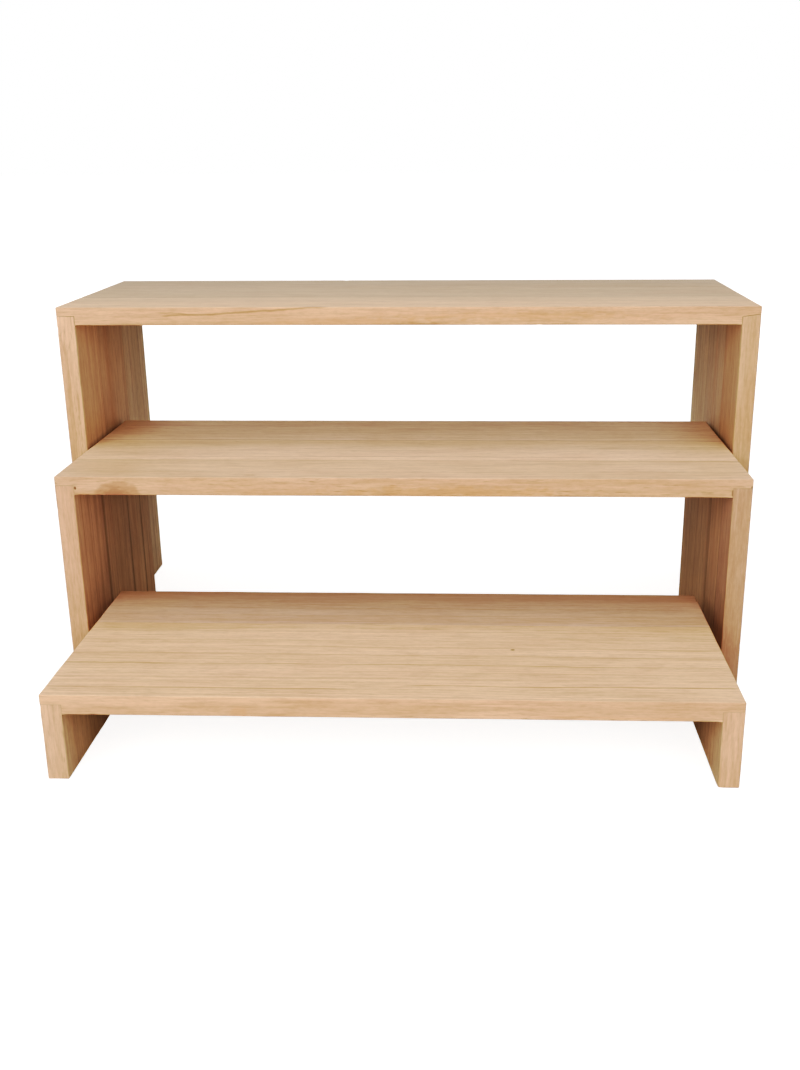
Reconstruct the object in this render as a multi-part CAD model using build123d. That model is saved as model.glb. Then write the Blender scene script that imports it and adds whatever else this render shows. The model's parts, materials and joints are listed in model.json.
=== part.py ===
from build123d import *
import os

# A set of three free-standing display risers in thin wood, one tucked partly under the next,
# so that their tops make a flight of steps. Millimetres. X runs along the boards, Y from front
# to back and Z up. The origin is on the floor, in the middle of the whole set's footprint.

# Driving dimensions
board = 10.0  # thickness of every board
depth = 130.0  # front to back, the same for every riser
lip = 5.0  # wood left over each side board, above the rabbet
arris = 0.8  # radius sanded on every outer edge after assembly

# Outside width and height of each riser
tall_width = 388.0
tall_height = 200.0
medium_width = 364.0
medium_height = 120.0
small_width = 324.0
small_height = 44.0

# How far the front of one riser stands behind the front of the next lower one
medium_setback = 100.0
tall_setback = 61.0

# Every board is glued up edge to edge from staves: each list gives their widths from front to back
STAVES = {
    "tall_top": [42.0, 46.0, 42.0],
    "tall_left_side": [36.0, 48.0, 46.0],
    "tall_right_side": [39.0, 47.0, 44.0],
    "medium_top": [36.0, 43.0, 51.0],
    "medium_left_side": [43.0, 44.0, 26.0, 17.0],
    "medium_right_side": [24.0, 28.0, 78.0],
    "small_top": [85.0, 45.0],
    "small_left_side": [58.0, 72.0],
    "small_right_side": [76.0, 54.0],
}

# What the staves of a board are called, from front to back, by how many there are
POSITIONS = {
    2: ["front", "back"],
    3: ["front", "middle", "back"],
    4: ["front", "second", "third", "back"],
}

footprint_depth = medium_setback + tall_setback + depth
small_front = -footprint_depth / 2
medium_front = small_front + medium_setback
tall_front = medium_front + tall_setback


def riser_body(width, height, front):
    """The riser as glued together and sanded: a square arch, with every outer edge rounded."""
    outline = Polyline(
        (-width / 2, 0),
        (-width / 2, height),
        (width / 2, height),
        (width / 2, 0),
        (width / 2 - board, 0),
        (width / 2 - board, height - board),
        (board - width / 2, height - board),
        (board - width / 2, 0),
        close=True,
    )
    arch = extrude(Plane.XZ.offset(-front) * make_face(outline), -depth)
    inner_corners = [
        edge
        for edge in arch.edges().filter_by(Axis.Y)
        if abs(edge.center().Z - (height - board)) < 0.01
    ]
    outer_edges = [edge for edge in arch.edges() if edge not in inner_corners]
    return fillet(outer_edges, arris)


def block(x_span, y_span, z_span):
    """A plain block between the given pairs of coordinates."""
    spans = (x_span, y_span, z_span)
    low = [span[0] for span in spans]
    size = [span[1] - span[0] for span in spans]
    return Pos(*low) * Box(*size, align=(Align.MIN, Align.MIN, Align.MIN))


def board_regions(width, height, y_span):
    """The space that each board takes: the top is rabbeted over the ends of the two sides."""
    inner = width / 2 - board
    outside = width / 2 + board
    shoulder = height - lip
    tread = block((-outside, outside), y_span, (shoulder, height + board))
    tread += block((-inner, inner), y_span, (height - board, shoulder))
    return {
        "top": tread,
        "left_side": block((-outside, -inner), y_span, (-board, shoulder)),
        "right_side": block((inner, outside), y_span, (-board, shoulder)),
    }


def write_riser(riser, width, height, front):
    """Cuts the riser into its boards and each board into its staves, one file for each stave."""
    body = riser_body(width, height, front)
    for part_name in ("top", "left_side", "right_side"):
        board_name = f"{riser}_{part_name}"
        widths = STAVES[board_name]
        assert abs(sum(widths) - depth) < 0.001
        near = front
        for position, stave_width in zip(POSITIONS[len(widths)], widths):
            far = near + stave_width
            region = board_regions(width, height, (near, far))[part_name]
            stave = body & region
            name = f"{board_name}_{position}_stave"
            stave.label = name
            export_step(stave, f"parts/{name}.step")
            print(name, round(stave.volume), "mm3")
            near = far


os.makedirs("parts", exist_ok=True)
write_riser("tall", tall_width, tall_height, tall_front)
write_riser("medium", medium_width, medium_height, medium_front)
write_riser("small", small_width, small_height, small_front)
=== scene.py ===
"""Looks for the set of three nesting wooden display risers. Everything is in metres."""

import json
import math

import bpy
import numpy as np
from mathutils import Matrix, Vector


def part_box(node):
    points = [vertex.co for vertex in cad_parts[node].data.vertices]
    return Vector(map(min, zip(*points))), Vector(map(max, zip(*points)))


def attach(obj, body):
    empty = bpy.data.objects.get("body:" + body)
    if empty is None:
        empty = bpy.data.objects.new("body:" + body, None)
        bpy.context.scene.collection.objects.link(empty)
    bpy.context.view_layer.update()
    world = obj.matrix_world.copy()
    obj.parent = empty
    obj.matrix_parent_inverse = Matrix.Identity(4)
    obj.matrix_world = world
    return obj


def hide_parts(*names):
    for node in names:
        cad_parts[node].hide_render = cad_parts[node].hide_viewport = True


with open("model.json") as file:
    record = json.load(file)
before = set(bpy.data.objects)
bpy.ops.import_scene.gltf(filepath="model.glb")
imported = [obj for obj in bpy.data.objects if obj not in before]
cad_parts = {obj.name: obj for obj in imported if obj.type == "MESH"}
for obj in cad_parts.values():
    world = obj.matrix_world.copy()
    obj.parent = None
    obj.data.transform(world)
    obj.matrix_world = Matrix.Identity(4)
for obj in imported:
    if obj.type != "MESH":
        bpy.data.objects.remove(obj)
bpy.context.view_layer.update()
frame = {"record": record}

MM = 0.001
RISERS = ("tall", "medium", "small")

# Two coordinates or lengths this close are the same
SAME_LINE = 1e-7
SAME_PLANE = 1e-6
SAME_FACE = 1e-4
NO_LENGTH = 1e-9

# Shape of every stave. The sizes and depths of dents are in millimetres
GRID_STEP = 2.0 * MM
STEP_SLACK = 0.01
SMALLEST_STEP = 0.04 * MM
ARRIS_RADIUS = 0.6 * MM
ARRIS_LIMITS = (0.35 * MM, 0.95 * MM)
ARRIS_WANDER = ((0.16, 24 * MM), (0.07, 7 * MM))
ARRIS_DARKEST = 0.41
EDGE_RINGS = np.array([0.0, 0.14, 0.3, 0.5, 0.75, 1.05, 1.4]) * MM
JOINT_RINGS = np.array([0.0, 0.14, 0.3, 0.5]) * MM
INSIDE_FADE = (0.3 * MM, 2.5 * MM)
BELOW_FADE = (0.0, 2.5 * MM)
JOINT_REACH = 0.3 * MM
JOINT_DEPTH = 0.16 * MM
JOINT_SHOWS = {"tall": 1.0, "medium": 0.55, "small": 0.4}
RABBET_SLOPE = 0.14
RABBET_REACH = 4.0 * MM
DENTS_PER_STAVE = 2
DENTED_ARRIS = 0.9
DENT_SIZE = (0.7, 1.6)
DENT_DEPTH = (0.08, 0.25)
FACE_WEIGHT = 80

# Seeds of the random draws for a stave's shape and for its wood
SHAPE_SEED_STEP = 10
FIRST_WOOD_SEED = 500

# The floor: its own glow, the light it returns to the camera, and the light it returns to the wood
FLOOR_REACH = 12.0
FLOOR_DROP = 0.05 * MM
FLOOR_GLOW = 0.87
GLOW_RISES = (0.5, 1.5)
FLOOR_SEEN = 0.32
FLOOR_BOUNCE = (0.74, 0.73, 0.72)

# The white room's strength and colour as a light
ROOM_LIGHT = 0.15
ROOM_WARMTH = (1.0, 0.97, 0.93)

# Softboxes: name, place, the point each one faces, size and power in watts
SOFTBOXES = (
    ("left_softbox", (-0.54, -0.88, 0.6), (0, 0, 0.1), (0.75, 0.5), 5.1),
    ("right_softbox", (0.58, -0.88, 0.6), (0, 0, 0.1), (0.75, 0.5), 3.5),
    ("top_softbox", (0, -0.15, 2.0), (0, 0, 0), (2.2, 2.2), 28.0),
    ("camera_softbox", (0.04, -0.75, 0.33), (0, 0, 0.1), (0.2, 0.15), 0.6),
    ("back_softbox", (0, 1.6, 0.7), (0, 0, 0.1), (2.4, 1.2), 6.4),
)

# The camera: its place, how far it turns left, tilts and rolls in degrees, and its lens
CAMERA_PLACE = (0.0390, -0.6157, 0.2840)
CAMERA_ANGLES = (2.291, -17.996, 0.417)
SENSOR_WIDTH = 36.0
FOCAL_LENGTH = 38.53
LENS_SHIFT = (-0.0291, -0.0165)
CLIPS = (0.01, 50.0)

# Amounts of light and how light they are shown, from deep shadow up to the straight part
FILM_CURVE = (
    (0.06, 0.009),
    (0.12, 0.038),
    (0.18, 0.095),
    (0.24, 0.18),
    (0.31, 0.295),
    (0.38, 0.38),
    (0.6, 0.6),
)


# ---------------------------------------------------------------- what the frame holds

bodies = frame["record"]["behaviour"]["bodies"]
body_of = {node: body for body, nodes in bodies.items() for node in nodes}


def union(nodes):
    """Lowest and highest corner of several CAD nodes together."""
    boxes = [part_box(node) for node in nodes]
    low = np.min([box[0] for box in boxes], axis=0)
    high = np.max([box[1] for box in boxes], axis=0)
    return low, high


class Riser:
    """One riser's sizes, read from the frame."""

    def __init__(self, name):
        self.name = name
        self.nodes = bodies[f"{name}_riser"]
        self.low, self.high = union(self.nodes)
        side_low, side_high = union([n for n in self.nodes if "_left_side_" in n])
        self.board = side_high[0] - side_low[0]
        self.inner = self.high[0] - self.board
        self.shoulder = side_high[2]
        self.underside = self.high[2] - self.board


risers = {name: Riser(name) for name in RISERS}


# ---------------------------------------------------------------- mesh of a stave


def grid_lines(low, high, planes=()):
    """Grid coordinates from low to high: close together at both ends and beside the given planes."""
    marks = [low + EDGE_RINGS, high - EDGE_RINGS]
    for plane in planes:
        marks += [plane - JOINT_RINGS, plane + JOINT_RINGS]
    marks = np.unique(np.round(np.concatenate(marks), 7))
    marks = marks[(marks > low - SAME_LINE) & (marks < high + SAME_LINE)]
    lines = [marks[0]]
    for mark in marks[1:]:
        gap = mark - lines[-1]
        if gap < SMALLEST_STEP:
            continue
        count = max(1, math.ceil(gap / GRID_STEP - STEP_SLACK))
        lines += list(np.linspace(lines[-1], mark, count + 1)[1:])
    lines[-1] = high
    return np.array(lines)


def skin(xs, ys, zs, filled):
    """Points and outward quads of the closed skin round the filled cells of a grid."""
    counts = (len(xs), len(ys), len(zs))
    padded = np.pad(filled, 1)
    quads = []
    for axis in range(3):
        second, third = (axis + 1) % 3, (axis + 2) % 3
        for side in (0, 1):
            beside = np.roll(padded, 1 if side == 0 else -1, axis)[1:-1, 1:-1, 1:-1]
            cells = np.argwhere(filled & ~beside)
            corners = []
            for a, b in ((0, 0), (1, 0), (1, 1), (0, 1)):
                corner = cells.copy()
                corner[:, axis] += side
                corner[:, second] += a
                corner[:, third] += b
                corners.append(np.ravel_multi_index(corner.T, counts))
            if side == 0:
                corners.reverse()
            quads.append(np.stack(corners, axis=1))
    quads = np.concatenate(quads)
    used, inverse = np.unique(quads, return_inverse=True)
    i, j, k = np.unravel_index(used, counts)
    points = np.stack([xs[i], ys[j], zs[k]], axis=1)
    return points, inverse.reshape(quads.shape)


def ripple(points, wavelength, seed, waves=9):
    """A smooth wandering value about zero at each point, from plane waves in seeded directions."""
    rng = np.random.default_rng(seed)
    direction = rng.normal(size=(waves, 3))
    direction /= np.linalg.norm(direction, axis=1)[:, None]
    number = 2 * math.pi / (wavelength * rng.uniform(0.7, 1.5, waves))
    phase = rng.uniform(0, 2 * math.pi, waves)
    return np.sin(points @ (direction * number[:, None]).T + phase).sum(axis=1) / math.sqrt(waves)


def fade(value, start, end):
    """0 at start and 1 at end, smooth between, whichever is the larger."""
    t = np.clip((value - start) / (end - start), 0, 1)
    return t * t * (3 - 2 * t)


class Blank:
    """One stave before it is worked: its box, its place in its riser and its square-edged grid."""

    def __init__(self, name):
        self.riser = risers[name.split("_")[0]]
        self.is_top = "_top_" in name
        self.is_left = "_left_side_" in name
        self.low, self.high = (np.array(corner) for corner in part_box(name))
        self.at_front = abs(self.low[1] - self.riser.low[1]) < SAME_FACE
        self.at_back = abs(self.high[1] - self.riser.high[1]) < SAME_FACE
        self.grid, self.quads = self.make_grid()
        self.exposed = self.exposure()

    def make_grid(self):
        """The stave's skin, with the rabbets cut out of a top."""
        riser = self.riser
        planes_x = (-riser.inner, riser.inner) if self.is_top else ()
        planes_z = (riser.shoulder if self.is_top else riser.underside,)
        xs, ys, zs = (
            grid_lines(low, high, planes)
            for low, high, planes in zip(self.low, self.high, (planes_x, (), planes_z))
        )
        filled = np.ones((len(xs) - 1, len(ys) - 1, len(zs) - 1), bool)
        if self.is_top:
            rabbet_x = np.abs((xs[:-1] + xs[1:]) / 2) > riser.inner
            rabbet_z = (zs[:-1] + zs[1:]) / 2 < riser.shoulder
            filled &= ~(rabbet_x[:, None, None] & rabbet_z[None, None, :])
        return skin(xs, ys, zs, filled)

    def exposure(self):
        """How far each side, by axis and end, is exposed: 0 on a glued face and 1 on an outer one."""
        x, _, z = self.grid.T
        outer, glued = np.ones(len(self.grid)), np.zeros(len(self.grid))
        exposed = {
            (1, 0): outer if self.at_front else glued,
            (1, 1): outer if self.at_back else glued,
        }
        if self.is_top:
            exposed[0, 0] = exposed[0, 1] = exposed[2, 1] = outer
            exposed[2, 0] = fade(self.riser.inner - np.abs(x), *INSIDE_FADE)
        else:
            inner = fade(self.riser.underside - z, *BELOW_FADE)
            exposed[0, 0] = outer if self.is_left else inner
            exposed[0, 1] = inner if self.is_left else outer
            exposed[2, 0] = outer
            exposed[2, 1] = glued
        return exposed


def round_arrises(blank, seed):
    """Arrises sanded by hand, so the radius wanders along the edge. Gives the points, how far and
    which way each grid point is past the centres of the rounding, and how far into an arris it is."""
    grid = blank.grid
    (strong, long), (weak, short) = ARRIS_WANDER
    wander = strong * ripple(grid, long, seed) + weak * ripple(grid, short, seed + 1)
    radius = np.clip(ARRIS_RADIUS * (1 + wander), *ARRIS_LIMITS)
    over = np.zeros_like(grid)
    for (axis, side), share in blank.exposed.items():
        reach = radius * share
        if side == 0:
            over[:, axis] -= np.clip(blank.low[axis] + reach - grid[:, axis], 0, None)
        else:
            over[:, axis] += np.clip(grid[:, axis] - (blank.high[axis] - reach), 0, None)
    length = np.linalg.norm(over, axis=1)
    shrink = np.clip(1 - radius / np.maximum(length, NO_LENGTH), 0, None)
    points = grid - over * shrink[:, None]
    arris = np.clip(length * shrink / (ARRIS_DARKEST * radius), 0, 1)
    return points, over, arris


def near(distance):
    """1 on a joint and 0 beyond its reach."""
    return np.clip(1 - distance / JOINT_REACH, 0, 1)


def joint_nearness(blank):
    """How near each point is to a joint between boards or staves, scaled by how well this riser's
    joints show."""
    riser = blank.riser
    x, y, z = blank.grid.T
    across = np.abs(x)
    nearness = [np.zeros(len(blank.grid))]
    if not blank.at_front:
        nearness.append(near(y - blank.low[1]))
    if not blank.at_back:
        nearness.append(near(blank.high[1] - y))
    if blank.is_top:
        over_side = (across > riser.inner - SAME_PLANE) * (z > riser.shoulder - SAME_PLANE)
        beside_side = (across < riser.inner + SAME_PLANE) * (z < riser.shoulder + SAME_PLANE)
        nearness.append(near(z - riser.shoulder) * over_side)
        nearness.append(near(riser.inner - across) * beside_side)
    else:
        nearness.append(near(blank.high[2] - z))
        nearness.append(near(across - riser.inner) * (z > riser.underside - SAME_PLANE))
    return JOINT_SHOWS[riser.name] * np.max(nearness, axis=0)


def sink_joints(blank, points, joint):
    """Presses a hairline groove into the exposed sides at each joint. Gives how much of a joint each
    point of those sides is."""
    outermost = np.zeros(len(points), bool)
    for (axis, side), share in blank.exposed.items():
        limit = (blank.low, blank.high)[side][axis]
        outside = (np.abs(blank.grid[:, axis] - limit) < SAME_LINE) & (share > 0)
        points[outside, axis] += (1, -1)[side] * (JOINT_DEPTH * joint * share)[outside]
        outermost |= outside
    return joint * outermost


def slope_rabbet(blank, points):
    """Tilts the right-hand rabbet, which was cut a little out of square, so its joint line slopes."""
    riser = blank.riser
    x, _, z = blank.grid.T
    slant = np.clip(x - riser.inner, -RABBET_REACH, None)
    slant *= 1 - fade(riser.inner - x, 0, RABBET_REACH)
    rise = RABBET_SLOPE * (slant - riser.board / 2) * (x > riser.inner - RABBET_REACH)
    points[:, 2] += rise * (1 - fade(np.abs(z - riser.shoulder), 0, RABBET_REACH))


def dent_arrises(blank, points, over, arris, seed):
    """Small dents that soft wood takes along its arrises."""
    rng = np.random.default_rng(seed)
    length = np.maximum(np.linalg.norm(over, axis=1), NO_LENGTH)
    for centre in rng.choice(np.flatnonzero(arris > DENTED_ARRIS), DENTS_PER_STAVE):
        size = rng.uniform(*DENT_SIZE) * MM
        depth = rng.uniform(*DENT_DEPTH) * MM
        away = np.linalg.norm(blank.grid - blank.grid[centre], axis=1)
        push = depth * np.exp(-(away / size) ** 2)
        points -= push[:, None] * over / length[:, None]


def stave_mesh(name, seed):
    """The worked stave: its points and quads, and how much of an arris and a joint each point is."""
    blank = Blank(name)
    points, over, arris = round_arrises(blank, seed)
    joint = sink_joints(blank, points, joint_nearness(blank))
    if blank.riser.name == "tall":
        slope_rabbet(blank, points)
    dent_arrises(blank, points, over, arris, seed + 2)
    return points, blank.quads, arris, joint


def make_stave(name, seed):
    """The stave as a Blender object that stands for its CAD node."""
    points, quads, arris, joint = stave_mesh(name, seed)
    mesh = bpy.data.meshes.new(name)
    mesh.from_pydata(points.tolist(), [], quads.tolist())
    mesh.polygons.foreach_set("use_smooth", np.ones(len(quads), bool))
    for label, values in (("arris", arris), ("joint", joint)):
        layer = mesh.attributes.new(label, "FLOAT", "POINT")
        layer.data.foreach_set("value", values.astype(np.float32))
    mesh.update()
    stave = bpy.data.objects.new(f"{name}_wood", mesh)
    bpy.context.scene.collection.objects.link(stave)
    weigh = stave.modifiers.new("flat_faces", "WEIGHTED_NORMAL")
    weigh.weight = FACE_WEIGHT
    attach(stave, body_of[name])
    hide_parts(name)
    return stave


# ---------------------------------------------------------------- node helpers


def add(tree, kind, inputs=(), output=0, **settings):
    """Adds a shader node, gives its inputs by place or by name, and returns one of its outputs."""
    node = tree.nodes.new("ShaderNode" + kind)
    for key, value in settings.items():
        setattr(node, key, value)
    pairs = inputs.items() if isinstance(inputs, dict) else enumerate(inputs)
    for key, value in pairs:
        if isinstance(value, bpy.types.NodeSocket):
            tree.links.new(value, node.inputs[key])
        else:
            node.inputs[key].default_value = value
    return node.outputs[output]


def calc(tree, operation, *values):
    """One step of arithmetic on numbers or node outputs."""
    return add(tree, "Math", values, operation=operation)


def vector(tree, operation, *values, output=0):
    """One step of vector arithmetic. Output 0 is a vector, and output 1 a number."""
    return add(tree, "VectorMath", values, output, operation=operation)


def split(tree, value):
    """The X, Y and Z of a vector."""
    node = tree.nodes.new("ShaderNodeSeparateXYZ")
    tree.links.new(value, node.inputs[0])
    return node.outputs[0], node.outputs[1], node.outputs[2]


def ramp(tree, value, start, end, low=0.0, high=1.0):
    """Smooth step of a value from low at start to high at end."""
    return add(tree, "MapRange", (value, start, end, low, high), interpolation_type="SMOOTHSTEP")


def mix(tree, factor, first, second, blend="MIX"):
    """A mix of two colours, from all first at factor 0 to all second at 1."""
    inputs = {0: factor, 6: first, 7: second}
    return add(tree, "Mix", inputs, 2, data_type="RGBA", blend_type=blend)


def noise(tree, place, stretch, detail=2.0, roughness=0.5):
    """Noise about 0.5 whose features have the given size along each axis, in millimetres."""
    scale = [1 / (size * MM) for size in stretch]
    scaled = vector(tree, "MULTIPLY", place, scale)
    inputs = {"Vector": scaled, "Scale": 1.0, "Detail": detail, "Roughness": roughness}
    return add(tree, "TexNoise", inputs)


def noise_along(tree, distance, scale, detail, roughness=0.5):
    """Noise about 0.5 that depends on one distance only."""
    inputs = {"W": distance, "Scale": scale, "Detail": detail, "Roughness": roughness}
    return add(tree, "TexNoise", inputs, noise_dimensions="1D")


# ---------------------------------------------------------------- wood

# How the grain wanders, in millimetres: the size of each bend along and across the grain, and its reach
GRAIN_BENDS = (
    ((260, 60, 60), 6),
    ((110, 40, 2.4), 4.0),
    ((45, 12, 5), 1.8),
    ((12, 4, 3), 0.7),
)
RING_UNEVENNESS = 1.6
DARKER_SHARE = 0.8
END_GRAIN_SHARE = 0.26
# Share of painted shade on the arrises, which dims the highlight their rounding catches
ARRIS_SHADE_SHARE = 0.30
DARKER = (0.86, 0.83, 0.79, 1)
NARROW_FACE = (0.955, 0.875, 0.85, 1)
END_GRAIN = (0.42, 0.26, 0.14, 1)
GLUE = (0.20, 0.11, 0.06, 1)
# Colour of the painted shade on the arrises
ARRIS_SHADE = (0.40, 0.26, 0.15, 1)
SMOOTHEST = 0.50
FIBRE_ROUGHNESS = 0.16
END_GRAIN_ROUGHNESS = 0.16
FIBRE_HEIGHT = 0.022 * MM
PORE_DEPTH = 0.06 * MM


def wood_figure():
    """Node group: pale, ring-porous wood in the round. Every face cuts the same growth rings, so a
    board that is quarter-sawn on its wide face shows a wavy, flat-sawn figure on its narrow one."""
    tree = bpy.data.node_groups.new("wood_figure", "ShaderNodeTree")
    sockets = tree.interface
    for label, kind in (
        ("Place", "NodeSocketVector"),
        ("Facing", "NodeSocketVector"),
        ("Shift", "NodeSocketVector"),
        ("Pith", "NodeSocketVector"),
        ("Ring Width", "NodeSocketFloat"),
        ("Lines", "NodeSocketFloat"),
        ("Tone", "NodeSocketColor"),
    ):
        sockets.new_socket(label, in_out="INPUT", socket_type=kind)
    for label, kind in (
        ("Color", "NodeSocketColor"),
        ("Radius", "NodeSocketFloat"),
        ("Roughness", "NodeSocketFloat"),
        ("Height", "NodeSocketFloat"),
    ):
        sockets.new_socket(label, in_out="OUTPUT", socket_type=kind)
    given = tree.nodes.new("NodeGroupInput").outputs
    loose = vector(tree, "ADD", given["Place"], given["Shift"])

    # Distance from the pith, which runs along the grain. The grain wanders at several scales
    from_pith = vector(tree, "SUBTRACT", given["Place"], given["Pith"])
    across = vector(tree, "MULTIPLY", from_pith, (0.0, 1.0, 1.0))
    radius = vector(tree, "LENGTH", across, output=1)
    for stretch, reach in GRAIN_BENDS:
        bend = calc(tree, "SUBTRACT", noise(tree, loose, stretch, 1.0), 0.5)
        radius = calc(tree, "ADD", radius, calc(tree, "MULTIPLY", bend, reach * MM))

    # Growth rings of uneven width: latewood ends in a thin dark line, strong in some years
    uneven = noise_along(tree, radius, 45.0, 1.0)
    rings = calc(tree, "DIVIDE", radius, given["Ring Width"])
    rings = calc(tree, "ADD", rings, calc(tree, "MULTIPLY", uneven, RING_UNEVENNESS))
    growth = calc(tree, "FRACT", rings)
    year = add(tree, "TexWhiteNoise", {"W": calc(tree, "FLOOR", rings)}, noise_dimensions="1D")
    strength = ramp(tree, year, 0.1, 0.9, 0.1, 1.0)
    line = calc(tree, "MULTIPLY", calc(tree, "POWER", growth, 10.0), strength)
    line = calc(tree, "MULTIPLY", line, given["Lines"])
    late = calc(tree, "MULTIPLY", calc(tree, "POWER", growth, 2.0), given["Lines"])
    early = calc(tree, "POWER", calc(tree, "SUBTRACT", 1.0, growth), 3.0)

    # Bands inside each ring, and the fibres and pores that run through them
    bands = ramp(tree, noise_along(tree, radius, 520.0, 3.0, 0.6), 0.3, 0.7)
    fibre = noise(tree, loose, (24, 0.75, 0.75), 3.0, 0.6)
    fleck = noise(tree, loose, (3.6, 0.9, 0.9), 2.0, 0.6)
    mottle = noise(tree, loose, (15, 2.6, 1.5), 2.0, 0.6)
    streak = noise(tree, loose, (210, 7, 7), 2.0, 0.55)
    cloud = noise(tree, loose, (95, 24, 24), 2.0)
    hue = noise(tree, loose, (60, 16, 16), 2.0)
    pore_noise = noise(tree, loose, (7, 0.36, 0.36), 1.0)
    pore = calc(tree, "MULTIPLY", ramp(tree, pore_noise, 0.62, 0.76), calc(tree, "ADD", early, 0.25))

    # The stave's own tone, darker in streaks and clouds, then each kind of mark over it: where it is,
    # how strong it is and its shade
    tone = calc(tree, "ADD", streak, calc(tree, "MULTIPLY", cloud, 0.8))
    tone = calc(tree, "MULTIPLY", ramp(tree, tone, 0.62, 1.18), DARKER_SHARE)
    darker = mix(tree, 1.0, given["Tone"], DARKER, "MULTIPLY")
    colour = mix(tree, tone, given["Tone"], darker)
    for share, strength, shade in (
        (ramp(tree, hue, 0.46, 0.68), 0.18, (0.60, 0.37, 0.25, 1)),
        (ramp(tree, hue, 0.56, 0.34), 0.18, (0.66, 0.48, 0.31, 1)),
        (bands, 0.22, (0.43, 0.25, 0.165, 1)),
        (late, 0.12, (0.46, 0.27, 0.16, 1)),
        (line, 0.42, (0.34, 0.17, 0.10, 1)),
        (ramp(tree, fibre, 0.38, 0.66), 0.18, (0.41, 0.24, 0.165, 1)),
        (ramp(tree, fleck, 0.46, 0.66), 0.15, (0.43, 0.26, 0.175, 1)),
        (ramp(tree, fleck, 0.50, 0.30), 0.10, (0.80, 0.60, 0.42, 1)),
        (ramp(tree, mottle, 0.50, 0.66), 0.18, (0.45, 0.27, 0.18, 1)),
        (ramp(tree, mottle, 0.50, 0.34), 0.15, (0.80, 0.59, 0.39, 1)),
        (pore, 0.34, (0.24, 0.13, 0.07, 1)),
    ):
        share = calc(tree, "MULTIPLY", share, strength)
        colour = mix(tree, share, colour, shade)

    # Faces that look forwards or backwards, the boards' narrow edges, are made ruddier and a little
    # darker. The ends of the fibres drink in light, so end grain is darker
    along_grain, through_edge, _ = split(tree, given["Facing"])
    narrow_face = ramp(tree, calc(tree, "ABSOLUTE", through_edge), 0.55, 0.95)
    colour = mix(tree, narrow_face, colour, NARROW_FACE, "MULTIPLY")
    end_grain = ramp(tree, calc(tree, "ABSOLUTE", along_grain), 0.55, 0.95)
    colour = mix(tree, calc(tree, "MULTIPLY", end_grain, END_GRAIN_SHARE), colour, END_GRAIN)

    # Joints hold a little dark glue, and the arrises get painted shade that dims the highlight their
    # rounding catches
    joint = add(tree, "Attribute", attribute_name="joint", output=2)
    arris = add(tree, "Attribute", attribute_name="arris", output=2)
    patchy = noise(tree, loose, (14, 14, 14), 2.0)
    glue = calc(tree, "MULTIPLY", joint, ramp(tree, patchy, 0.25, 0.65, 0.2, 0.7))
    colour = mix(tree, glue, colour, GLUE)
    colour = mix(tree, calc(tree, "MULTIPLY", arris, ARRIS_SHADE_SHARE), colour, ARRIS_SHADE)

    # Raised fibres and open end grain are rougher, and pores are shallow pits
    roughness = calc(tree, "ADD", calc(tree, "MULTIPLY", fibre, FIBRE_ROUGHNESS), SMOOTHEST)
    roughness = calc(tree, "ADD", roughness, calc(tree, "MULTIPLY", end_grain, END_GRAIN_ROUGHNESS))
    ridges = calc(tree, "MULTIPLY", fibre, FIBRE_HEIGHT)
    pits = calc(tree, "MULTIPLY", pore, -PORE_DEPTH)
    height = calc(tree, "ADD", ridges, pits)

    result = tree.nodes.new("NodeGroupOutput")
    for label, value in (
        ("Color", colour),
        ("Radius", radius),
        ("Roughness", roughness),
        ("Height", height),
    ):
        tree.links.new(value, result.inputs[label])
    return tree


FIGURE = wood_figure()

# How softly a mark ends along the grain, and how deep a vein goes into the wood
LINE_EASE = 8 * MM
VEIN_EASE = 3 * MM
VEIN_SWAY = 1.4 * MM
VEIN_DEPTH = 2.5 * MM


class Cut:
    """One stave's material while its marks are drawn: the place on it, in the object and along the
    grain, the distance from its pith, where its wide show face is, and its lowest corner."""

    def __init__(self, tree, here, place, radius, pith, face, low):
        self.tree = tree
        self.here = here
        self.place = place
        self.radius = radius
        self.pith = pith
        self.face = face
        self.low = low


def growth_and_shade_band(depth, width, strength, shade, span=None, patchiness=0.55):
    """A darker year; drawn wide and soft, a band of painted shade. Its ring comes out of the show face
    at Y = depth and shows wherever it is cut. span limits it to a stretch of the grain. Lengths are in
    millimetres."""

    def draw(cut, colour):
        """The colour with this line over it."""
        tree = cut.tree
        at = math.hypot(depth * MM - cut.pith[1], cut.face - cut.pith[2])
        away = calc(tree, "ABSOLUTE", calc(tree, "SUBTRACT", cut.radius, at))
        share = ramp(tree, away, width * MM, 0.0)
        patchy = noise(tree, cut.place, (45, 30, 30), 1.0)
        patchy = ramp(tree, patchy, 0.2, 0.6, 1.0 - patchiness, 1.0)
        share = calc(tree, "MULTIPLY", share, patchy)
        if span:
            along = split(tree, cut.place)[0]
            start, end = (edge * MM for edge in span)
            for outside, inside in (
                (start - LINE_EASE, start + LINE_EASE),
                (end + LINE_EASE, end - LINE_EASE),
            ):
                share = calc(tree, "MULTIPLY", share, ramp(tree, along, outside, inside))
        return mix(tree, calc(tree, "MULTIPLY", share, strength), colour, (*shade, 1))

    return draw


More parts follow.
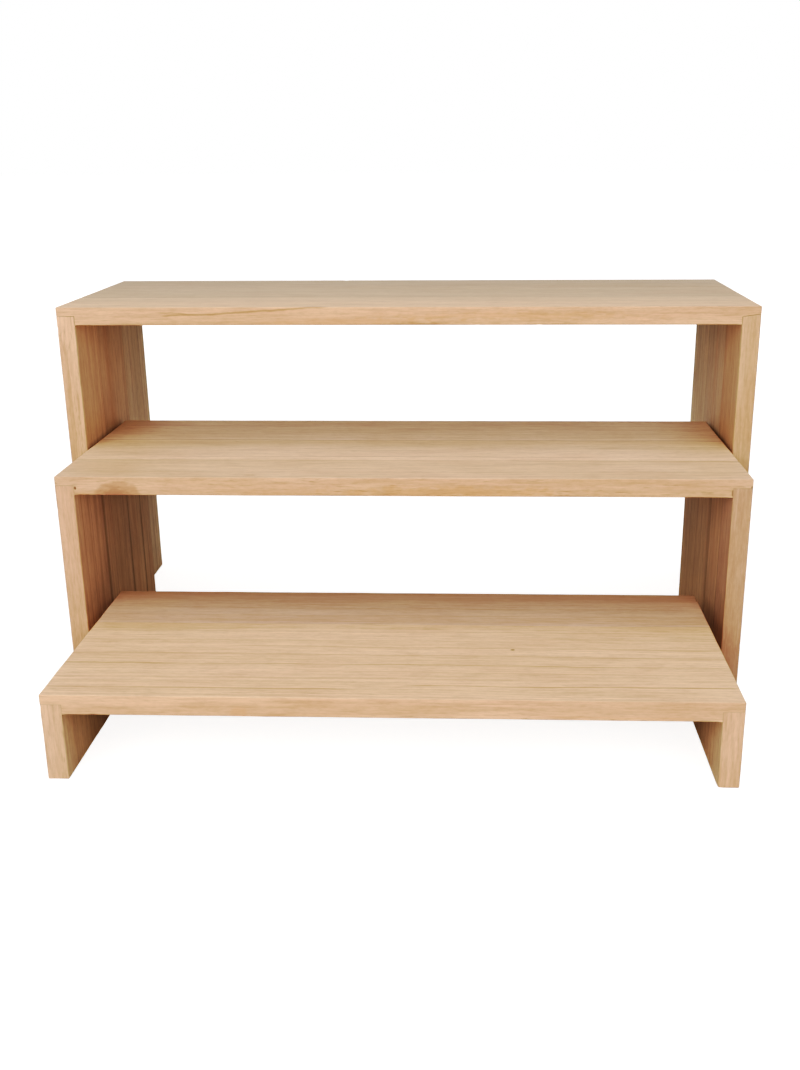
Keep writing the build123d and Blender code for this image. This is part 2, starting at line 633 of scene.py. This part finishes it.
def vein(start, end, width, strength, shade):
    """A thin dark vein on the front of a top, from one (X, Z) point to another, in millimetres. It
    sways a little and goes a little way into the wood."""

    def draw(cut, colour):
        """The colour with this vein over it."""
        tree = cut.tree
        x, y, z = split(tree, cut.here)
        slope = (end[1] - start[1]) / (end[0] - start[0])
        line = calc(tree, "MULTIPLY", calc(tree, "SUBTRACT", x, start[0] * MM), slope)
        sway = calc(tree, "SUBTRACT", noise(tree, cut.here, (9, 30, 30), 2.0), 0.5)
        away = calc(tree, "SUBTRACT", calc(tree, "SUBTRACT", z, start[1] * MM), line)
        away = calc(tree, "ADD", away, calc(tree, "MULTIPLY", sway, VEIN_SWAY))
        share = ramp(tree, calc(tree, "ABSOLUTE", away), width * MM, 0.0)
        front = cut.low[1]
        for value, outside, inside in (
            (x, start[0] * MM - VEIN_EASE, start[0] * MM + VEIN_EASE),
            (x, end[0] * MM + VEIN_EASE, end[0] * MM - VEIN_EASE),
            (y, front + VEIN_DEPTH, front + VEIN_DEPTH / 2),
        ):
            share = calc(tree, "MULTIPLY", share, ramp(tree, value, outside, inside))
        return mix(tree, calc(tree, "MULTIPLY", share, strength), colour, (*shade, 1))

    return draw


def patch(centre, radii, strength, shade, edge, ragged=0.25):
    """A patch of another colour: an ellipsoid, in millimetres. Its edge is soft and ragged by the
    given shares of its size."""

    def draw(cut, colour):
        """The colour with this patch over it."""
        tree = cut.tree
        moved = vector(tree, "SUBTRACT", cut.here, [c * MM for c in centre])
        moved = vector(tree, "DIVIDE", moved, [r * MM for r in radii])
        distance = vector(tree, "LENGTH", moved, output=1)
        rough = calc(tree, "SUBTRACT", noise(tree, cut.here, (6, 4, 2.5), 2.0, 0.6), 0.5)
        distance = calc(tree, "ADD", distance, calc(tree, "MULTIPLY", rough, 4 * ragged))
        share = ramp(tree, distance, 1.0, 1.0 - edge)
        return mix(tree, calc(tree, "MULTIPLY", share, strength), colour, (*shade, 1))

    return draw


def wood(name, look):
    """Bare sanded wood for one stave. The grain runs along X in tops and along Z in sides."""
    material = bpy.data.materials.new(f"wood_{name}")
    material.use_nodes = True
    tree = material.node_tree
    tree.nodes.clear()
    coordinates = tree.nodes.new("ShaderNodeTexCoord").outputs
    here, facing = coordinates["Object"], coordinates["Normal"]
    place = here
    is_top = "_top_" in name
    if not is_top:
        turned = []
        for source in (here, facing):
            x, y, z = split(tree, source)
            turned.append(add(tree, "CombineXYZ", (z, y, x)))
        place, facing = turned
    group = tree.nodes.new("ShaderNodeGroup")
    group.node_tree = FIGURE
    tree.links.new(place, group.inputs["Place"])
    tree.links.new(facing, group.inputs["Facing"])
    for label, value in (
        ("Shift", look["shift"]),
        ("Pith", look["pith"]),
        ("Ring Width", look["ring_width"]),
        ("Lines", look["lines"]),
        ("Tone", (*look["tone"], 1)),
    ):
        group.inputs[label].default_value = value
    riser = risers[name.split("_")[0]]
    if is_top:
        face = riser.high[2]
    else:
        face = -riser.inner if "_left_" in name else riser.inner
    cut = Cut(tree, here, place, group.outputs["Radius"], look["pith"], face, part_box(name)[0])
    colour = group.outputs["Color"]
    for draw in look["marks"]:
        colour = draw(cut, colour)
    bump = add(tree, "Bump", {"Height": group.outputs["Height"], "Distance": 1.0, "Strength": 1.0})
    shader = tree.nodes.new("ShaderNodeBsdfPrincipled")
    tree.links.new(colour, shader.inputs["Base Color"])
    tree.links.new(group.outputs["Roughness"], shader.inputs["Roughness"])
    tree.links.new(bump, shader.inputs["Normal"])
    output = tree.nodes.new("ShaderNodeOutputMaterial")
    tree.links.new(shader.outputs[0], output.inputs["Surface"])
    return material


# ---------------------------------------------------------------- how each stave looks

# Shades of the marks
BROWN = (0.36, 0.19, 0.10)
DUSKY = (0.42, 0.24, 0.15)
ROSY = (0.58, 0.33, 0.20)
ORANGE = (0.50, 0.24, 0.11)
# Painted shade: the tall top grows darker and greyer towards its back
UMBER = (0.20, 0.11, 0.06)
PAINTED_SHADE_GREY = (0.38, 0.32, 0.24)
# Painted shade on the backs of the small and medium tops, under the riser above
PAINTED_SHADE_BROWN = (0.42, 0.27, 0.16)
BURR = (0.40, 0.20, 0.13)
BURR_HEART = (0.30, 0.14, 0.09)

# The wood's colours, from the palest to the darkest. The two palest add painted light to the medium
# top's back and middle staves, in the shade under the tall top, and the two darkest are painted shade
# on the tall top's back and middle staves
PAINTED_LIGHT_PEARL = (0.90, 0.71, 0.55)
PAINTED_LIGHT_BUFF = (0.87, 0.68, 0.49)
IVORY = (0.80, 0.68, 0.50)
CREAM = (0.79, 0.60, 0.42)
STRAW = (0.76, 0.575, 0.39)
WHEAT = (0.73, 0.56, 0.39)
HONEY = (0.72, 0.53, 0.38)
STONE = (0.70, 0.60, 0.45)
OAT = (0.70, 0.54, 0.37)
CLAY = (0.66, 0.49, 0.39)
SAND = (0.66, 0.50, 0.35)
TAN = (0.59, 0.44, 0.33)
PAINTED_SHADE_DRIFTWOOD = (0.58, 0.46, 0.32)
PAINTED_SHADE_ASH = (0.53, 0.42, 0.30)

TONE = {
    "medium_left_side_back_stave": WHEAT,
    "medium_left_side_front_stave": HONEY,
    "medium_left_side_second_stave": SAND,
    "medium_left_side_third_stave": WHEAT,
    "medium_right_side_back_stave": OAT,
    "medium_right_side_front_stave": TAN,
    "medium_right_side_middle_stave": SAND,
    # The medium top's back and middle staves take the palest tones: painted light that lifts the shade
    # under the tall top
    "medium_top_back_stave": PAINTED_LIGHT_PEARL,
    "medium_top_front_stave": WHEAT,
    "medium_top_middle_stave": PAINTED_LIGHT_BUFF,
    "small_left_side_back_stave": CREAM,
    "small_left_side_front_stave": WHEAT,
    "small_right_side_back_stave": WHEAT,
    "small_right_side_front_stave": CREAM,
    "small_top_back_stave": CLAY,
    "small_top_front_stave": STRAW,
    "tall_left_side_back_stave": IVORY,
    "tall_left_side_front_stave": CREAM,
    "tall_left_side_middle_stave": WHEAT,
    "tall_right_side_back_stave": IVORY,
    "tall_right_side_front_stave": OAT,
    "tall_right_side_middle_stave": STONE,
    # The tall top's back and middle staves take dark, grey tones: painted shade, as less light reaches
    # the back of the top
    "tall_top_back_stave": PAINTED_SHADE_ASH,
    "tall_top_front_stave": STRAW,
    "tall_top_middle_stave": PAINTED_SHADE_DRIFTWOOD,
}

# Staves whose growth rings hardly show
CALM = ("tall_left_side_front_stave", "tall_left_side_middle_stave", "small_left_side_front_stave")

# How strongly growth rings show on tops whose lines are listed, on calm staves and elsewhere
PLACED_LINES = 0.3
CALM_LINES = 0.5
FULL_LINES = 1.0

# Where a stave was cut from its tree: how far its pith is to one side and, at most, above or below,
# the width of its growth rings in millimetres, and how far its grain pattern may be moved
PITH_ASIDE = (0.10, 0.16)
PITH_ABOVE = 0.02
RING_WIDTH = (7.0, 11.0)
PATTERN_REACH = 3

# Ring lines, bands and patches that single staves show, and wide bands of painted shade towards the
# backs of the tops
MARKS = {
    "small_top_front_stave": [
        growth_and_shade_band(-81.5, 0.9, 0.26, DUSKY),
        growth_and_shade_band(-89.5, 1.0, 0.34, DUSKY, (-90, 162)),
        growth_and_shade_band(-98.5, 0.9, 0.36, DUSKY),
        growth_and_shade_band(-109.1, 1.0, 0.55, BROWN),
        growth_and_shade_band(-117.0, 0.9, 0.30, DUSKY, (-20, 162)),
        growth_and_shade_band(-124.5, 1.0, 0.40, DUSKY, (-162, 60)),
        growth_and_shade_band(-131.0, 1.0, 0.60, BROWN, (10, 162)),
        growth_and_shade_band(-136.0, 1.0, 0.50, BROWN, (-162, -20)),
        growth_and_shade_band(-61.0, 12.0, 0.12, ORANGE, patchiness=0.3),
        patch((58.3, -91.0, 44), (1.4, 1.1, 2.0), 0.8, UMBER, edge=0.6, ragged=0.1),
        patch((-69, -145.5, 36), (5.5, 4, 3.2), 0.45, ROSY, edge=0.4, ragged=0.2),
        vein((72, 35.6), (138, 35.3), 0.9, 0.40, ROSY),
    ],
    "small_top_back_stave": [
        growth_and_shade_band(-23.0, 1.2, 0.25, DUSKY, (20, 162)),
        # A wide band of painted shade at the back, which lies under the medium riser's top
        growth_and_shade_band(-12.0, 30.0, 0.60, PAINTED_SHADE_BROWN, patchiness=0.15),
        growth_and_shade_band(-53.0, 10.0, 0.13, ORANGE),
    ],
    "medium_top_back_stave": [
        # A wide band of painted shade at the back, which lies under the tall riser's top
        growth_and_shade_band(85.5, 16.0, 0.16, PAINTED_SHADE_BROWN, patchiness=0.15),
        growth_and_shade_band(70.0, 2.2, 0.25, DUSKY, (-182, -60)),
        growth_and_shade_band(33.6, 1.2, 0.45, DUSKY),
    ],
    "medium_top_middle_stave": [
        growth_and_shade_band(28.0, 7.0, 0.12, ORANGE),
        growth_and_shade_band(16.8, 1.0, 0.5, DUSKY, (113, 146)),
        growth_and_shade_band(-3.5, 1.0, 0.40, DUSKY, (-130, 100)),
    ],
    "medium_top_front_stave": [
        growth_and_shade_band(-10.5, 1.0, 0.34, DUSKY, (-60, 182)),
        growth_and_shade_band(-33.5, 1.0, 0.34, DUSKY),
        patch((-79, -41, 120), (5, 1.3, 2), 0.6, DUSKY, edge=0.7),
        patch((-156, -45.5, 109.0), (21, 6, 4.6), 0.40, ROSY, edge=0.6, ragged=0.3),
        patch((-148.5, -45.5, 109.2), (13.5, 6, 9.4), 0.50, BURR, edge=0.2, ragged=0.12),
        patch((-149, -45.5, 109.4), (11, 6, 6.5), 0.42, BURR_HEART, edge=0.7, ragged=0.5),
        patch((-171.2, -45.5, 113.8), (0.8, 3, 1.2), 0.9, UMBER, edge=0.5, ragged=0.1),
        patch((25, -45.5, 112.5), (75, 5, 3.8), 0.26, ORANGE, edge=0.7, ragged=0.45),
        patch((-60, -45.5, 112), (45, 5, 3.0), 0.18, ROSY, edge=0.7, ragged=0.45),
        patch((181.6, -45.5, 115.6), (1.0, 3, 0.9), 0.8, UMBER, edge=0.6, ragged=0.1),
        patch((171.7, -45.5, 112.4), (0.6, 3, 2.4), 0.6, UMBER, edge=0.6, ragged=0.2),
    ],
    "tall_top_front_stave": [
        # A wide band of painted shade: the tall top grows darker and greyer towards its back
        growth_and_shade_band(57.5, 30.0, 0.24, PAINTED_SHADE_GREY, patchiness=0.1),
        growth_and_shade_band(26.8, 0.9, 0.45, DUSKY, (-50, 194)),
        vein((-137, 197.2), (-117, 196.0), 0.7, 0.45, BROWN),
        vein((-134, 195.4), (-106, 196.2), 0.8, 0.55, BROWN),
        vein((-108, 196.1), (-84, 197.5), 0.9, 0.65, BROWN),
        vein((-86, 197.5), (-66, 198.4), 0.9, 0.65, BROWN),
        vein((-68, 198.5), (-44, 199.9), 0.9, 0.55, BROWN),
        patch((-30, 15.5, 191.8), (62, 5, 2.8), 0.42, ROSY, edge=0.7, ragged=0.4),
        patch((6, 15.5, 190.6), (26, 5, 1.4), 0.45, BROWN, edge=0.7, ragged=0.3),
        patch((60, 15.5, 195), (90, 5, 3.2), 0.20, ORANGE, edge=0.8, ragged=0.5),
    ],
    # Wide bands of painted shade, darker and greyer towards the back of the tall top
    "tall_top_middle_stave": [growth_and_shade_band(110, 70, 0.15, PAINTED_SHADE_GREY, patchiness=0.1)],
    "tall_top_back_stave": [growth_and_shade_band(150, 60, 0.30, PAINTED_SHADE_GREY, patchiness=0.1)],
    "tall_left_side_front_stave": [
        growth_and_shade_band(21.0, 2.0, 0.14, BROWN),
        growth_and_shade_band(34.0, 2.0, 0.14, DUSKY),
        growth_and_shade_band(44.0, 2.5, 0.19, BROWN),
        growth_and_shade_band(56.0, 9.0, 0.23, ORANGE, patchiness=0.2),
    ],
    "tall_left_side_middle_stave": [
        growth_and_shade_band(66.0, 9.0, 0.23, ORANGE, patchiness=0.2),
        growth_and_shade_band(82.0, 2.5, 0.17, DUSKY),
        growth_and_shade_band(94.0, 2.5, 0.22, BROWN),
    ],
    "tall_left_side_back_stave": [
        growth_and_shade_band(111.0, 2.5, 0.26, BROWN),
        growth_and_shade_band(122.0, 2.5, 0.19, BROWN),
        growth_and_shade_band(133.0, 3.0, 0.22, BROWN),
    ],
    "tall_right_side_front_stave": [
        growth_and_shade_band(31.0, 2.5, 0.15, DUSKY),
        growth_and_shade_band(52.0, 2.5, 0.27, BROWN),
    ],
    "tall_right_side_middle_stave": [
        growth_and_shade_band(76.0, 4.0, 0.21, ROSY),
        growth_and_shade_band(90.0, 2.5, 0.18, DUSKY),
    ],
    "tall_right_side_back_stave": [
        growth_and_shade_band(112.0, 3.0, 0.21, DUSKY),
    ],
    "medium_left_side_front_stave": [
        growth_and_shade_band(-36.0, 2.6, 0.24, BROWN),
        growth_and_shade_band(-26.0, 2.6, 0.33, BROWN),
        growth_and_shade_band(-15.5, 2.8, 0.36, BROWN),
        growth_and_shade_band(-6.0, 9.0, 0.27, BROWN),
        growth_and_shade_band(-3.0, 3.2, 0.48, UMBER, patchiness=0.3),
    ],
    "medium_left_side_second_stave": [
        growth_and_shade_band(-2.0, 3.0, 0.45, UMBER, patchiness=0.3),
        growth_and_shade_band(8.0, 2.2, 0.18, BROWN),
        growth_and_shade_band(21.0, 2.4, 0.21, BROWN),
        growth_and_shade_band(41.3, 2.6, 0.45, UMBER, patchiness=0.3),
    ],
    "medium_left_side_third_stave": [
        growth_and_shade_band(42.0, 2.2, 0.36, UMBER, patchiness=0.3),
        growth_and_shade_band(53.0, 7.0, 0.15, ROSY),
        growth_and_shade_band(67.0, 3.0, 0.45, UMBER, patchiness=0.3),
    ],
    "medium_left_side_back_stave": [
        growth_and_shade_band(76.0, 2.6, 0.27, BROWN),
    ],
    "medium_right_side_front_stave": [
        growth_and_shade_band(-20.5, 3.0, 0.42, UMBER, patchiness=0.3),
    ],
    "medium_right_side_middle_stave": [
        growth_and_shade_band(6.0, 3.4, 0.45, UMBER, patchiness=0.3),
        growth_and_shade_band(-10.0, 4.0, 0.12, ROSY),
    ],
    "medium_right_side_back_stave": [
        growth_and_shade_band(8.0, 2.4, 0.30, UMBER, patchiness=0.3),
        growth_and_shade_band(41.0, 3.4, 0.30, BROWN),
        growth_and_shade_band(62.0, 3.0, 0.21, BROWN),
    ],
}


def lines_of(name):
    """How strongly the stave's growth rings show, apart from the listed lines."""
    if name in CALM:
        return CALM_LINES
    if name in MARKS and "_top_" in name:
        return PLACED_LINES
    return FULL_LINES


def look_of(name, seed):
    """How one stave's wood looks. Its pith is off to one side, so its wide faces are quarter-sawn."""
    rng = np.random.default_rng(seed)
    low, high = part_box(name)
    middle = (np.array(low) + np.array(high)) / 2
    side = 1 if rng.random() < 0.5 else -1
    height = middle[2] if "_top_" in name else middle[0]
    aside = side * rng.uniform(*PITH_ASIDE)
    above = rng.uniform(-PITH_ABOVE, PITH_ABOVE)
    return {
        "shift": tuple(rng.uniform(-PATTERN_REACH, PATTERN_REACH, 3)),
        "pith": (0.0, middle[1] + aside, height + above),
        "ring_width": rng.uniform(*RING_WIDTH) * MM,
        "lines": lines_of(name),
        "tone": TONE[name],
        "marks": MARKS.get(name, []),
    }


for number, node in enumerate(sorted(body_of)):
    stave = make_stave(node, SHAPE_SEED_STEP * number)
    stave.data.materials.append(wood(node, look_of(node, FIRST_WOOD_SEED + number)))


# ---------------------------------------------------------------- stage, light and camera


def make_floor():
    """A pale floor that the camera sees as softly lit from below, as on a studio's light table."""
    mesh = bpy.data.meshes.new("floor")
    corners = [(x * FLOOR_REACH, y * FLOOR_REACH, 0) for x, y in ((-1, -1), (1, -1), (1, 1), (-1, 1))]
    mesh.from_pydata(corners, [], [(0, 1, 2, 3)])
    floor = bpy.data.objects.new("floor", mesh)
    floor.location.z = -FLOOR_DROP
    bpy.context.scene.collection.objects.link(floor)
    material = bpy.data.materials.new("pale_floor")
    material.use_nodes = True
    tree = material.node_tree
    tree.nodes.clear()
    place = tree.nodes.new("ShaderNodeTexCoord").outputs["Object"]
    away = vector(tree, "LENGTH", place, output=1)
    strength = ramp(tree, away, *GLOW_RISES, FLOOR_GLOW, 1.0)
    glow = add(tree, "Emission", {"Color": (1, 1, 1, 1), "Strength": strength})
    seen = add(tree, "BsdfDiffuse", {"Color": (FLOOR_SEEN, FLOOR_SEEN, FLOOR_SEEN, 1)})
    bounce = add(tree, "BsdfDiffuse", {"Color": (*FLOOR_BOUNCE, 1)})
    path = add(tree, "LightPath")
    surface = add(tree, "MixShader", {0: path, 1: bounce, 2: add(tree, "AddShader", (glow, seen))})
    output = tree.nodes.new("ShaderNodeOutputMaterial")
    tree.links.new(surface, output.inputs["Surface"])
    mesh.materials.append(material)


def softbox(name, place, target, size, power):
    """A rectangular lamp that faces the target. The camera doesn't see it."""
    lamp = bpy.data.lights.new(name, "AREA")
    lamp.shape = "RECTANGLE"
    lamp.size, lamp.size_y = size
    lamp.energy = power
    light = bpy.data.objects.new(name, lamp)
    light.location = place
    light.rotation_euler = (Vector(target) - Vector(place)).to_track_quat("-Z", "Y").to_euler()
    light.visible_camera = False
    bpy.context.scene.collection.objects.link(light)


def make_world(strength, warmth):
    """A white room as seen, which lights the scene at another strength and warmth."""
    world = bpy.data.worlds.new("studio")
    bpy.context.scene.world = world
    world.use_nodes = True
    tree = world.node_tree
    background = tree.nodes["Background"]
    seen = add(tree, "LightPath")
    tree.links.new(calc(tree, "MAXIMUM", seen, strength), background.inputs["Strength"])
    tree.links.new(mix(tree, seen, (*warmth, 1), (1, 1, 1, 1)), background.inputs["Color"])


def make_camera():
    """The camera stands a little right of the middle and above the top, and looks slightly down."""
    lens = bpy.data.cameras.new("camera")
    lens.sensor_width = SENSOR_WIDTH
    lens.lens = FOCAL_LENGTH
    lens.shift_x, lens.shift_y = LENS_SHIFT
    lens.clip_start, lens.clip_end = CLIPS
    camera = bpy.data.objects.new("camera", lens)
    bpy.context.scene.collection.objects.link(camera)
    turn, tilt, roll = (math.radians(angle) for angle in CAMERA_ANGLES)
    camera.matrix_world = (
        Matrix.Translation(CAMERA_PLACE)
        @ Matrix.Rotation(turn, 4, "Z")
        @ Matrix.Rotation(tilt, 4, "X")
        @ Matrix.Rotation(roll, 4, "Y")
        @ Matrix.Rotation(math.pi / 2, 4, "X")
    )
    bpy.context.scene.camera = camera


def set_film():
    """Plain colours, but with a print's deep shadows."""
    settings = bpy.context.scene.view_settings
    settings.view_transform = "Standard"
    settings.use_curve_mapping = True
    mapping = settings.curve_mapping
    mapping.initialize()
    curve = mapping.curves[3]
    for light, shown in FILM_CURVE:
        curve.points.new(light, shown)
    mapping.update()


make_floor()
make_world(ROOM_LIGHT, ROOM_WARMTH)
for box in SOFTBOXES:
    softbox(*box)
make_camera()
set_film()
